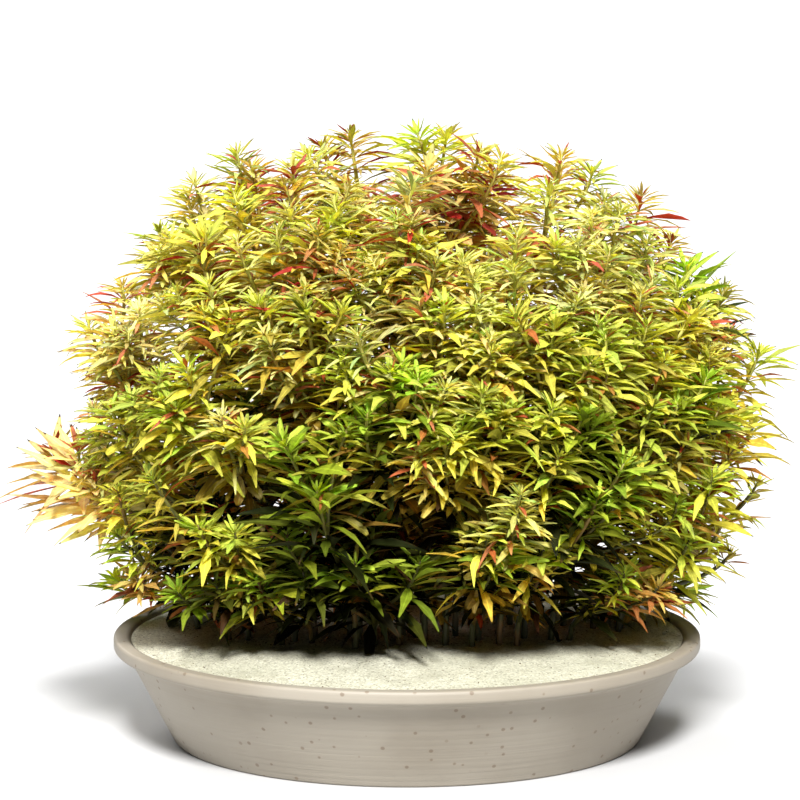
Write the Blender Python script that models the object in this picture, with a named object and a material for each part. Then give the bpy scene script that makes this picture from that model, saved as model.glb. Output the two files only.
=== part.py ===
# A potted clump of mini limnophila hippuridoides: a plain low pot, the sand in it and its leafy shoots.
# Metres, +Z up. The origin is the centre of the pot's flat base, and the front of the clump faces -Y.
# Each shoot is one solid, its stem with the whorls of leaves that grow from it.

import math

import bmesh
import bpy
import numpy as np
from mathutils import Vector

MM = 0.001

# Pot and sand
POT_HEIGHT = 42.0 * MM
POT_RIM_RADIUS = 116.0 * MM
POT_FOOT_RADIUS = 94.0 * MM
POT_WALL = 4.0 * MM
POT_FLOOR = 5.0 * MM
LIP_HEIGHT = 7.0 * MM
LIP_OVERHANG = 2.0 * MM
POT_SIDES = 32
SHARP_ANGLE = math.radians(35)
FIT_GAP = 0.3 * MM
SAND_BELOW_RIM = 1.5 * MM
SAND_CROWN = 3.5 * MM
SAND_RINGS = (0.72, 0.38)

# Clump: half sizes of the dome that the shoot tips lie on, above the middle of the sand
CLUMP_WIDTH = 140.0 * MM
CLUMP_DEPTH = 110.0 * MM
CLUMP_MIDDLE = 6.0 * MM
DOME_START = 75.0 * MM
DOME_RISE = 128.0 * MM
UNDERCUT = 0.5
ROOTS_WIDTH = 98.0 * MM
ROOTS_DEPTH = 58.0 * MM
ROOTS_PULL = 0.42
VIEW_TILT = math.radians(7.6)
TIP_ROUNDS = 12
YELLOW_FROM = 0.3

# Shoots
STEM_SIDES = 5
STEM_RADIUS = 1.3 * MM
TIP_RADIUS = 1.0 * MM
ROOT_RADIUS = 1.7 * MM
BEND_AT = 0.5
LINE_POINTS = 81
BARE_FOOT = 10.0 * MM
NODE_HEIGHT = 1.4 * MM
NOTCH_RADIUS = 4.8 * MM
FIRST_NOTCH = 0.6
THIN = 0.3 * MM
STUB = 1.25
TURN_PER_SHOOT = 1.9
LEAF_CLEARANCE = 0.7 * MM
LEAF_SHARES = (1.0, 0.88, 0.76, 0.64, 0.52, 0.4)
BEAD_STEP = 1.5 * MM
RIB_BEADS = 14
EDGE_BEADS = 12
RIB_START = 0.15
NEAR = 8.0 * MM
# Whorls from the tip down: distance from the tip, rise of the leaves in degrees, leaf length, droop
WHORLS = (
    (3.0 * MM, 58, 13.0 * MM, 0.0),
    (12.0 * MM, 36, 20.0 * MM, 0.1),
    (24.0 * MM, 20, 24.0 * MM, 0.2),
    (38.0 * MM, 10, 25.0 * MM, 0.3),
)

# Colour and roughness of each finish
FINISHES = {
    "pot_clay": ((0.62, 0.58, 0.52), 0.55),
    "sand_pale": ((0.75, 0.71, 0.60), 0.95),
    "leaf_yellow": ((0.55, 0.53, 0.10), 0.5),
    "leaf_red": ((0.50, 0.16, 0.08), 0.5),
    "leaf_olive": ((0.33, 0.38, 0.06), 0.5),
    "leaf_green": ((0.14, 0.33, 0.03), 0.45),
    "leaf_orange": ((0.62, 0.27, 0.10), 0.5),
}

# Shoots of the front and the edges, in mm as seen from the front at VIEW_TILT:
# name, x, height above the sand, how far behind the dome's front, finish
FRONT_SHOOTS = (
    ("top_shoot_1", -88, 177, 10, "leaf_yellow"),
    ("top_shoot_2", -68, 194, 4, "leaf_yellow"),
    ("top_shoot_3", -45, 186, -6, "leaf_red"),
    ("top_shoot_4", -23, 202, 8, "leaf_red"),
    ("top_shoot_5", 16, 201, 4, "leaf_yellow"),
    ("top_shoot_6", 62, 193, 6, "leaf_orange"),
    ("top_shoot_7", 94, 177, 4, "leaf_orange"),
    ("upper_shoot_1", -50, 160, 0, "leaf_yellow"),
    ("upper_shoot_2", -4, 165, 0, "leaf_yellow"),
    ("upper_shoot_3", 42, 158, 0, "leaf_yellow"),
    ("upper_shoot_4", 78, 152, 0, "leaf_yellow"),
    ("upper_shoot_5", -76, 140, 0, "leaf_yellow"),
    ("middle_shoot_1", -38, 130, 0, "leaf_olive"),
    ("middle_shoot_2", 14, 131, 0, "leaf_olive"),
    ("middle_shoot_3", 56, 124, 0, "leaf_olive"),
    ("middle_shoot_4", 92, 124, 0, "leaf_olive"),
    ("middle_shoot_5", -84, 108, 0, "leaf_olive"),
    ("middle_shoot_6", -6, 106, 0, "leaf_olive"),
    ("middle_shoot_7", 28, 98, 0, "leaf_olive"),
    ("middle_shoot_8", 66, 90, 0, "leaf_green"),
    ("middle_shoot_9", 104, 94, 0, "leaf_olive"),
    ("right_shoot_1", 127, 139, 0, "leaf_yellow"),
    ("right_shoot_2", 141, 114, -6, "leaf_olive"),
    ("right_shoot_3", 141, 86, 8, "leaf_olive"),
    ("right_shoot_4", 140, 62, -16, "leaf_olive"),
    ("right_shoot_5", 132, 33, 34, "leaf_green"),
    ("left_shoot_1", -127, 125, 4, "leaf_yellow"),
    ("left_shoot_2", -114, 92, -4, "leaf_olive"),
    ("trailing_shoot", -143, 75, 0, "leaf_orange"),
    ("left_shoot_3", -113, 43, 0, "leaf_green"),
    ("low_shoot_1", -34, 61, 0, "leaf_green"),
    ("low_shoot_2", 42, 52, 0, "leaf_green"),
    ("low_shoot_3", 72, 58, 0, "leaf_green"),
    ("low_shoot_4", -80, 47, 0, "leaf_green"),
    ("low_shoot_5", -58, 26, 0, "leaf_green"),
    ("low_shoot_6", -20, 33, 0, "leaf_green"),
    ("low_shoot_7", 98, 22, 0, "leaf_orange"),
)

# Rows of shoots round the back: height above the sand, count, and the part of a step before the first.
# They keep to a share of the dome's width, so the front shoots make the outline
BACK_ROWS = (
    (178.0 * MM, 2, 0.65),
    (150.0 * MM, 3, 0.5),
    (108.0 * MM, 4, 0.5),
    (70.0 * MM, 3, 0.7),
    (34.0 * MM, 3, 0.4),
)
BACK_WIDTH = 0.88

# Lean of a shoot's tip from upright, in degrees: low tips lean out, high ones stand up
LOW_LEAN = 36
HIGH_LEAN = 10
LEAN_PER_MM = 0.14
TRAILING_LEAN = 14
TRAILING_REACH = 0.22
STEM_RISE = 0.36
TIP_REACH = 0.38


def clear_scene():
    for thing in list(bpy.data.objects):
        bpy.data.objects.remove(thing, do_unlink=True)


def finish(name):
    colour, roughness = FINISHES[name]
    material = bpy.data.materials.new(name)
    material.use_nodes = True
    shader = material.node_tree.nodes["Principled BSDF"]
    shader.inputs["Base Color"].default_value = (*colour, 1.0)
    shader.inputs["Roughness"].default_value = roughness
    shader.inputs["Metallic"].default_value = 0.0
    return material


def add_object(name, bm, finish_name, place=(0.0, 0.0, 0.0)):
    mesh = bpy.data.meshes.new(name)
    bm.to_mesh(mesh)
    bm.free()
    mesh.materials.append(finish(finish_name))
    thing = bpy.data.objects.new(name, mesh)
    thing.location = place
    bpy.context.scene.collection.objects.link(thing)
    return thing


def turn_profile(outline):
    # A closed body turned about Z from an outline that starts and ends on the axis
    bm = bmesh.new()
    corners = [bm.verts.new((radius, 0.0, height)) for radius, height in outline]
    edges = [bm.edges.new(pair) for pair in zip(corners, corners[1:])]
    bmesh.ops.spin(
        bm,
        geom=corners + edges,
        axis=(0.0, 0.0, 1.0),
        cent=(0.0, 0.0, 0.0),
        angle=math.tau,
        steps=POT_SIDES,
        use_merge=True,
    )
    bmesh.ops.remove_doubles(bm, verts=bm.verts, dist=0.01 * MM)
    bmesh.ops.recalc_face_normals(bm, faces=bm.faces)
    return bm


def inner_radius(height):
    # Radius of the pot's inside at a height above its base
    share = height / POT_HEIGHT
    return POT_FOOT_RADIUS + (POT_RIM_RADIUS - POT_FOOT_RADIUS) * share - POT_WALL


def make_pot():
    lip_start = POT_HEIGHT - LIP_HEIGHT
    under_lip = inner_radius(lip_start) + POT_WALL
    outline = (
        (0.0, 0.0),
        (POT_FOOT_RADIUS, 0.0),
        (under_lip, lip_start),
        (POT_RIM_RADIUS + LIP_OVERHANG, lip_start + LIP_OVERHANG),
        (POT_RIM_RADIUS + LIP_OVERHANG, POT_HEIGHT),
        (inner_radius(POT_HEIGHT), POT_HEIGHT),
        (inner_radius(POT_FLOOR), POT_FLOOR),
        (0.0, POT_FLOOR),
    )
    pot = add_object("pot", turn_profile(outline), "pot_clay")
    pot.data.shade_smooth()
    pot.data.set_sharp_from_angle(angle=SHARP_ANGLE)


def sand_edge():
    return POT_HEIGHT - SAND_BELOW_RIM


def sand_height(x, y):
    # The sand is crowned: highest in the middle, level with its edge at the wall
    share = min(math.hypot(x, y) / inner_radius(sand_edge()), 1.0)
    return sand_edge() + SAND_CROWN * (1.0 - share**2)


def make_sand():
    floor = POT_FLOOR + FIT_GAP
    top_radius = inner_radius(sand_edge()) - FIT_GAP
    outline = [(0.0, floor), (inner_radius(floor) - FIT_GAP, floor), (top_radius, sand_edge())]
    for share in SAND_RINGS:
        radius = top_radius * share
        outline.append((radius, sand_height(radius, 0.0)))
    outline.append((0.0, sand_height(0.0, 0.0)))
    sand = add_object("sand", turn_profile(outline), "sand_pale")
    sand.data.shade_smooth()
    sand.data.set_sharp_from_angle(angle=SHARP_ANGLE)


def dome_share(x, height):
    # How much of its depth the clump has left at a place in the front view
    above = max(height - DOME_START, 0.0) / DOME_RISE
    return math.sqrt(max(0.0, 1.0 - (x / CLUMP_WIDTH) ** 2 - above**2))


def clump_depth(height):
    # The foot of the clump is set back under its widest part
    return CLUMP_DEPTH * (UNDERCUT + (1.0 - UNDERCUT) * min(height / DOME_START, 1.0))


def front_tip(x, seen_height, behind):
    # The point of the dome's front that shows at x and seen_height from the front
    height = seen_height
    for _ in range(TIP_ROUNDS):
        y = CLUMP_MIDDLE - clump_depth(height) * dome_share(x, height) + behind
        height = (seen_height - y * math.sin(VIEW_TILT)) / math.cos(VIEW_TILT)
    return Vector((x, y, height))


def back_tips():
    tips = []
    for height, count, start in BACK_ROWS:
        above = max(height - DOME_START, 0.0) / DOME_RISE
        width = BACK_WIDTH * CLUMP_WIDTH * math.sqrt(1.0 - above**2)
        depth = clump_depth(height) * math.sqrt(1.0 - above**2)
        for place in range(count):
            turn = math.pi * (place + start) / count
            along = width * math.cos(turn)
            tips.append(Vector((along, CLUMP_MIDDLE + depth * math.sin(turn), height)))
    return tips


def root_of(tip):
    # Stems fan out from a smaller patch of sand, and the high ones start nearest its middle
    nearer = 1.0 - ROOTS_PULL * min(tip.z / (DOME_START + DOME_RISE), 1.0)
    x = ROOTS_WIDTH * nearer * tip.x / CLUMP_WIDTH
    y = CLUMP_MIDDLE + ROOTS_DEPTH * nearer * (tip.y - CLUMP_MIDDLE) / CLUMP_DEPTH
    return Vector((x, y, sand_height(x, y) + FIT_GAP))


def stem_line(name, root, tip):
    # A stem leaves the sand upright, bends outwards and turns up again at its tip
    outward = Vector((tip.x - root.x, tip.y - root.y, 0.0))
    outward.normalize()
    reach = (tip - root).length
    height = (tip.z - sand_edge()) / MM
    lean = math.radians(min(max(LOW_LEAN - LEAN_PER_MM * height, HIGH_LEAN), LOW_LEAN))
    tip_reach = TIP_REACH
    if name == "trailing_shoot":
        lean = math.radians(TRAILING_LEAN)
        tip_reach = TRAILING_REACH
    ahead = outward * math.sin(lean) + Vector((0.0, 0.0, math.cos(lean)))
    pulls = (root, root + Vector((0.0, 0.0, reach * STEM_RISE)), tip - ahead * reach * tip_reach, tip)
    share = np.linspace(0.0, 1.0, LINE_POINTS)[:, None]
    weights = ((1 - share) ** 3, 3 * share * (1 - share) ** 2, 3 * share**2 * (1 - share), share**3)
    line = sum(weight * np.array(pull) for weight, pull in zip(weights, pulls))
    side = Vector((0.0, 0.0, 1.0)).cross(outward)
    return line, side


class Shoot:
    def __init__(self, name, tip, finish_name, number):
        self.name = name
        self.finish = finish_name
        self.number = number
        self.root = root_of(tip)
        self.line, self.side = stem_line(name, self.root, tip)
        steps = np.linalg.norm(np.diff(self.line, axis=0), axis=1)
        self.along = np.concatenate([[0.0], np.cumsum(steps)])
        self.length = self.along[-1]
        room = self.length - BARE_FOOT
        self.whorls = [whorl for whorl in WHORLS if whorl[0] < room]
        self.leaves = {}

    def place(self, below_tip):
        # The stem's middle and its direction at a distance below the tip
        at = self.length - below_tip
        step = 0.5 * MM
        here, ahead = (
            np.array([np.interp(s, self.along, self.line[:, k]) for k in range(3)])
            for s in (at, min(at + step, self.length))
        )
        if at + step > self.length:
            here = self.line[-1]
            ahead = here + (self.line[-1] - self.line[-2])
        return Vector(here), (Vector(ahead) - Vector(here)).normalized()

    def turn(self, whorl_number, leaf_number):
        # Each whorl is turned half a leaf from the next, and each shoot starts at another angle
        half_step = math.pi / STEM_SIDES
        return half_step * (2.0 * leaf_number + whorl_number) + TURN_PER_SHOOT * self.number

    def notch_radius(self, whorl_number):
        return NOTCH_RADIUS if whorl_number else NOTCH_RADIUS * FIRST_NOTCH

    def around(self, middle, along, turn, radius):
        other = along.cross(self.side)
        return middle + (self.side * math.cos(turn) + other * math.sin(turn)) * radius


def leaf_tip(shoot, whorl_number, leaf_number, length):
    below_tip, rise, _, droop = shoot.whorls[whorl_number]
    middle, along = shoot.place(below_tip)
    out = shoot.around(Vector(), along, shoot.turn(whorl_number, leaf_number + 0.5), 1.0)
    rise = math.radians(rise)
    way = out * math.cos(rise) + along * math.sin(rise) + Vector((0.0, 0.0, -droop))
    return middle + way * length


def notch(shoot, whorl_number, leaf_number):
    # The corner between two leaves of a whorl
    below_tip, rise, _, _ = shoot.whorls[whorl_number]
    middle, along = shoot.place(below_tip)
    out = shoot.around(Vector(), along, shoot.turn(whorl_number, leaf_number), 1.0)
    rise = math.radians(rise)
    return middle + (out * math.cos(rise) + along * math.sin(rise)) * shoot.notch_radius(whorl_number)


def beads_between(start, end, start_radius, end_radius, count):
    share = np.linspace(0.0, 1.0, count)
    middles = np.array(start) + share[:, None] * (np.array(end) - np.array(start))
    return middles, start_radius + share * (end_radius - start_radius)


def leaf_beads(shoot, whorl_number, leaf_number, tip):
    # Beads along a leaf's midrib and edges, for telling how near it comes to other shoots
    middle, _ = shoot.place(shoot.whorls[whorl_number][0])
    rib = beads_between(middle.lerp(tip, RIB_START), tip, NODE_HEIGHT, THIN, RIB_BEADS)
    edges = [
        beads_between(notch(shoot, whorl_number, number), tip, THIN * 2, THIN, EDGE_BEADS)
        for number in (leaf_number, leaf_number + 1)
    ]
    lines = [rib, *edges]
    return np.concatenate([line[0] for line in lines]), np.concatenate([line[1] for line in lines])


def stem_beads(shoot):
    count = int(shoot.length / BEAD_STEP)
    at = np.linspace(0.0, shoot.length, count)
    middles = np.stack([np.interp(at, shoot.along, shoot.line[:, k]) for k in range(3)], axis=1)
    radii = np.full(count, ROOT_RADIUS)
    for below_tip, *_ in shoot.whorls:
        radii[np.abs(shoot.length - at - below_tip) < BEAD_STEP * 1.5] = NOTCH_RADIUS
    return middles, radii


def grow_leaves(shoots):
    # Each leaf has its full length unless another shoot is in its way; then it is shorter, or a stub
    beads = [stem_beads(shoot) for shoot in shoots]
    middles = np.concatenate([bead[0] for bead in beads])
    radii = np.concatenate([bead[1] for bead in beads])
    owners = np.repeat(np.arange(len(shoots)), [len(bead[0]) for bead in beads])
    floor = sand_edge() + SAND_CROWN + LEAF_CLEARANCE
    for number, shoot in enumerate(shoots):
        for whorl_number, whorl in enumerate(shoot.whorls):
            away = np.linalg.norm(middles - np.array(shoot.place(whorl[0])[0]), axis=1)
            close = (owners != number) & (away < whorl[2] + NEAR)
            near, near_radii = middles[close], radii[close]
            for leaf_number in range(STEM_SIDES):
                for share in LEAF_SHARES:
                    tip = leaf_tip(shoot, whorl_number, leaf_number, whorl[2] * share)
                    points, radius = leaf_beads(shoot, whorl_number, leaf_number, tip)
                    apart = np.linalg.norm(points[:, None] - near[None], axis=2)
                    apart -= radius[:, None] + near_radii[None]
                    if apart.min(initial=NEAR) > LEAF_CLEARANCE and (points[:, 2] - radius).min() > floor:
                        middles = np.concatenate([middles, points])
                        radii = np.concatenate([radii, radius])
                        owners = np.concatenate([owners, np.full(len(points), number)])
                        break
                else:
                    stub = shoot.notch_radius(whorl_number) * STUB
                    tip = leaf_tip(shoot, whorl_number, leaf_number, stub)
                shoot.leaves[whorl_number, leaf_number] = tip


def add_ring(bm, shoot, below_tip, radius, turn_of):
    middle, along = shoot.place(below_tip)
    if below_tip == shoot.length:
        along = Vector((0.0, 0.0, 1.0))
    corners = [shoot.around(middle, along, turn_of(side), radius) for side in range(STEM_SIDES)]
    return [bm.verts.new(corner - shoot.root) for corner in corners]


def join_rings(bm, lower, upper):
    for side in range(STEM_SIDES):
        after = (side + 1) % STEM_SIDES
        bm.faces.new((lower[side], lower[after], upper[after], upper[side]))


def add_whorl(bm, shoot, number, lower, upper):
    # A ring of leaves, each a ridged blade from the stem and the notches beside it to its tip
    notches = [bm.verts.new(notch(shoot, number, side) - shoot.root) for side in range(STEM_SIDES)]
    for side in range(STEM_SIDES):
        after = (side + 1) % STEM_SIDES
        tip = bm.verts.new(shoot.leaves[number, side] - shoot.root)
        bm.faces.new((upper[side], notches[side], tip))
        bm.faces.new((upper[side], tip, upper[after]))
        bm.faces.new((upper[after], tip, notches[after]))
        bm.faces.new((lower[side], tip, notches[side]))
        bm.faces.new((lower[side], lower[after], tip))
        bm.faces.new((lower[after], notches[after], tip))


def make_shoot(shoot):
    bm = bmesh.new()
    last = len(shoot.whorls) - 1
    bare = shoot.length - shoot.whorls[last][0]

    def turned(number):
        return lambda side: shoot.turn(number, side)

    ring = add_ring(bm, shoot, shoot.length, ROOT_RADIUS, turned(last))
    bm.faces.new(reversed(ring))
    bend = add_ring(bm, shoot, shoot.length - bare * BEND_AT, STEM_RADIUS, turned(last))
    join_rings(bm, ring, bend)
    ring = bend
    for number in range(last, -1, -1):
        below_tip = shoot.whorls[number][0]
        radius = STEM_RADIUS if number else TIP_RADIUS
        lower = add_ring(bm, shoot, below_tip + NODE_HEIGHT * 0.5, radius, turned(number))
        upper = add_ring(bm, shoot, below_tip - NODE_HEIGHT * 0.5, radius, turned(number))
        join_rings(bm, ring, lower)
        add_whorl(bm, shoot, number, lower, upper)
        ring = upper
    bm.faces.new(ring)
    bmesh.ops.triangulate(bm, faces=bm.faces)
    add_object(shoot.name, bm, shoot.finish, shoot.root)


def all_shoots():
    shoots = []
    sand_top = Vector((0.0, 0.0, sand_edge()))
    for name, x, height, behind, finish_name in FRONT_SHOOTS:
        tip = front_tip(x * MM, height * MM, behind * MM) + sand_top
        shoots.append(Shoot(name, tip, finish_name, len(shoots)))
    for number, tip in enumerate(back_tips(), 1):
        finish_name = "leaf_yellow" if tip.z > DOME_START + YELLOW_FROM * DOME_RISE else "leaf_olive"
        shoots.append(Shoot(f"back_shoot_{number}", tip + sand_top, finish_name, len(shoots)))
    return shoots


def main():
    clear_scene()
    make_pot()
    make_sand()
    shoots = all_shoots()
    grow_leaves(shoots)
    for shoot in shoots:
        make_shoot(shoot)


main()
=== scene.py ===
# The looks of a potted clump of mini limnophila hippuridoides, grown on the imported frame:
# every shoot with its side shoots and toothed leaves, the sand with its grains, and the plain pot.
import math

import bmesh
import bpy
import numpy as np
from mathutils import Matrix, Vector


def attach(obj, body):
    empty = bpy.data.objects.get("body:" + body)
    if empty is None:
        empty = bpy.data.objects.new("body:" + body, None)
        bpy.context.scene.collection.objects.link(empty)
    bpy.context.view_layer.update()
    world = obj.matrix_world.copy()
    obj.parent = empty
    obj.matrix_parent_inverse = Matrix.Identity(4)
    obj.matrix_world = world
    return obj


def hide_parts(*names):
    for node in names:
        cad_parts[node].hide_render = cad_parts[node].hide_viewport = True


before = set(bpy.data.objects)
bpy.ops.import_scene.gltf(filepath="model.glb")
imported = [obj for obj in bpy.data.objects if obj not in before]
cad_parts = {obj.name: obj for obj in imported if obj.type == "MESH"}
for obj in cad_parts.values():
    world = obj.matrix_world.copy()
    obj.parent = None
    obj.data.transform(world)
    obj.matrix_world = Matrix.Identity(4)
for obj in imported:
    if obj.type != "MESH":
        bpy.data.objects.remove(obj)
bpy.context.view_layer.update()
print("frame loaded:", len(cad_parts), "nodes")

mm = 0.001

pot = {
    "height": 42 * mm,
    "rimRadius": 116 * mm,
    "footRadius": 94 * mm,
    "wall": 4 * mm,
    "floor": 5 * mm,
    "lipHeight": 7 * mm,
    "lipOverhang": 2 * mm,
    "round": 1.3 * mm,  # rounding of the lip and the foot
    "sides": 144,
}

sand = {
    "belowRim": 1.5 * mm,
    "crown": 3.5 * mm,
    "fitGap": 0.3 * mm,
    "rings": 46,
    "sides": 168,
    "swell": 0.66 * mm,  # height of its low waves
    "fade": 8 * mm,  # the waves end this far from the pot's wall
    "grains": 1300,
    "grainSize": (0.35 * mm, 0.95 * mm),
    "grainEdge": 2 * mm,
    "grainLift": 0.15 * mm,
}

clump = {
    "halfWidth": 140 * mm,
    "halfDepth": 110 * mm,
    "middle": 6 * mm,
    "domeStart": 75 * mm,
    "domeRise": 128 * mm,
    "undercut": 0.5,
    "rootsWidth": 98 * mm,
    "rootsDepth": 58 * mm,
    "rootsPull": 0.42,
    "backWidth": 0.88,
    "viewTilt": math.radians(7.6),
    "leans": (36, 10, 0.14),  # lowest shoots, highest shoots, degrees less for each mm of height
    "stemRise": 0.36,
    "tipReach": 0.38,
    "trailing": (14, 0.22),  # lean in degrees and tip reach of the shoot that trails out at the left
    "seed": 11,
}

stem = {
    "mainRadii": (1.35 * mm, 0.95 * mm, 0.855 * mm),  # at the foot, along the stem and below the tip
    "sideRadii": (0.9 * mm, 0.75 * mm, 0.675 * mm),
    "tipRadius": 0.45 * mm,
    "taper": (0, 0.3, 0.9, 1),  # shares of its length where the radius changes
    "inSand": 6 * mm,
    "step": 5.0 * mm,
    "points": 81,  # points along its curve
    "sideDrop": (30 * mm, 62 * mm),  # how far below its tip a side shoot leaves the main stem
    "sideFrom": (8, 66),  # the first and last of the main stem's points where one may leave it
    "sideLean": (0.8, 16, 0.6),  # share of the main lean, degrees more at most, and spread of its turn
    "sideStart": (0.6, 0.7),  # how far it starts along the main stem and towards its own tip
    "sidePulls": (0.35, 0.4),  # how strongly its start and its tip bend it
    "bare": {"trailing": 60 * mm, "open": 45 * mm},  # bare foot of the stem by look
    "bareLow": 30 * mm,  # and of all other stems, by how high their tip is
    "bareHigh": 18 * mm,
    "bareSide": 4 * mm,
    "lowTip": 110 * mm,
    "scale": (0.94, 1.08),  # size of a stem's whorls against the table
    "sideScale": (0.8, 1.02),
}

# Whorls from the tip down: mm below the tip, leaf length in mm, rise and bend in degrees, number of leaves,
# and leaf width over length
youngWhorls = (
    (0.3, 4.6, 58, 4, 4, 0.26),
    (1.3, 8.0, 46, 8, 5, 0.24),
    (3.0, 11.6, 36, 26, 6, 0.22),
    (5.8, 15.2, 31, 38, 6, 0.205),
    (9.8, 18.8, 28, 42, 7, 0.185),
    (15.0, 21.8, 25, 43, 7, 0.17),
    (22.0, 23.6, 21, 40, 7, 0.165),
    (30.0, 24.2, 17, 35, 7, 0.16),
    (39.0, 24.2, 13, 30, 6, 0.165),
)

# The old whorls further down, inside the clump; rise and width are given at the tip and where they are oldest
oldWhorls = {
    "step": 8.5 * mm,
    "length": 21 * mm,
    "rise": (14, 4),
    "bend": 34,
    "leaves": 5,
    "width": (0.19, 0.25),
    "oldest": 150 * mm,
}

# How a kind of shoot differs from the table: leaf width, leaf length, gaps between whorls, leaves more in
# a whorl, how many mm below the tip its leaves are old and dark, and how far they bend
habits = {
    "fine": (0.72, 0.82, 0.72, 2, 80, 0.85),
    "middling": (0.84, 0.96, 0.86, 1, 60, 0.85),
    "broad": (0.94, 1.14, 1.14, 0, 34, 0.72),
    "trailing": (0.86, 1.24, 1.05, 0, 150, 0.35),
    "open": (0.86, 0.88, 1.7, -2, 80, 0.9),
}

leafShape = {
    "thickness": 0.34 * mm,
    "fold": 0.30,  # how far the midrib lies below the edges, over the half width
    "tiny": 3,  # the youngest whorls have the plainest leaf
    "toothedFrom": 4,  # whorls from here on are toothed where a shoot isn't densely leaved
    "steps": 16,
    "arc": 1.35,  # how late along its length a leaf bends
    "sag": 0.07,
    "sickle": 0.10,
    "twist": 30,
    "wave": 0.14,
    "waves": 17,
    "toLight": 0.8,  # how far a whorl turns from its stem's line to upright
}

# How much single leaves differ: spread and limits as shares of the value, and the rise in degrees by age
leafLuck = {
    "turn": 0.2,
    "spin": (0.35, 0.6),  # turn from whorl to whorl, in radians
    "length": (0.18, 0.5, 1.3),
    "width": (0.14, 0.65, 1.4),
    "bend": (0.4, -0.2, 2.0),
    "rise": (9, 8),
    "place": 0.8 * mm,
    "light": (0.17, 0.55, 1.4),
    "red": 0.08,
    "fold": (0.4, 1.5),
    "shoot": (0.08, 0.04, 0.06),  # spread of a whole shoot's light, red and blue
}

# Leaf colours by look, as sRGB: young, full-grown and old leaves, the blush of some leaves and how many
# have it, the habit, and the looks that its unnamed side shoots may have
looks = {
    "yellow": ((250, 250, 138), (255, 236, 140), (250, 206, 108), (220, 84, 62), 0.09,
        "fine", ("yellow", "pale", "olive")),
    "pale": ((253, 252, 164), (255, 242, 162), (252, 214, 126), (232, 120, 90), 0.08,
        "fine", ("pale", "yellow")),
    "orange": ((252, 238, 136), (255, 220, 150), (244, 176, 112), (218, 60, 48), 0.24,
        "fine", ("yellow", "pale")),
    "red": ((248, 240, 132), (255, 220, 142), (242, 160, 104), (198, 24, 44), 0.36,
        "fine", ("yellow", "pale")),
    "olive": ((240, 248, 110), (242, 226, 92), (178, 144, 50), (212, 104, 62), 0.07,
        "middling", ("olive", "pale")),
    "lime": ((232, 248, 102), (228, 222, 88), (150, 130, 46), (196, 104, 62), 0.05,
        "middling", ("lime", "olive")),
    "green": ((218, 242, 86), (164, 182, 48), (44, 50, 12), (170, 124, 54), 0.03,
        "broad", ("green", "olive")),
    "open": ((250, 250, 130), (242, 230, 106), (206, 168, 76), (210, 122, 70), 0.06,
        "open", ("open",)),
    # The shade look is painted shade: a darker copy of the green look, for side shoots low and inside the
    # clump, where the shade falls
    "shade": ((136, 152, 50), (72, 76, 20), (32, 28, 8), (84, 46, 24), 0.10,
        "broad", ("shade",)),
    "brown": ((240, 214, 116), (226, 168, 96), (120, 80, 34), (176, 74, 48), 0.25,
        "middling", ("olive",)),
    "trailing": ((255, 240, 160), (255, 216, 166), (255, 188, 132), (210, 48, 50), 0.12,
        "trailing", ("trailing",)),
}
givenBack = 0.88  # share of these colours that a leaf gives back
heartAge = 0.012  # the trailing shoot's leaves younger than this are red

# Shoots whose leaves stay smaller
smaller = {"left_shoot_2": 0.8, "left_shoot_3": 0.72, "low_shoot_7": 0.8, "low_shoot_4": 0.85,
           "low_shoot_5": 0.9}

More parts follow.
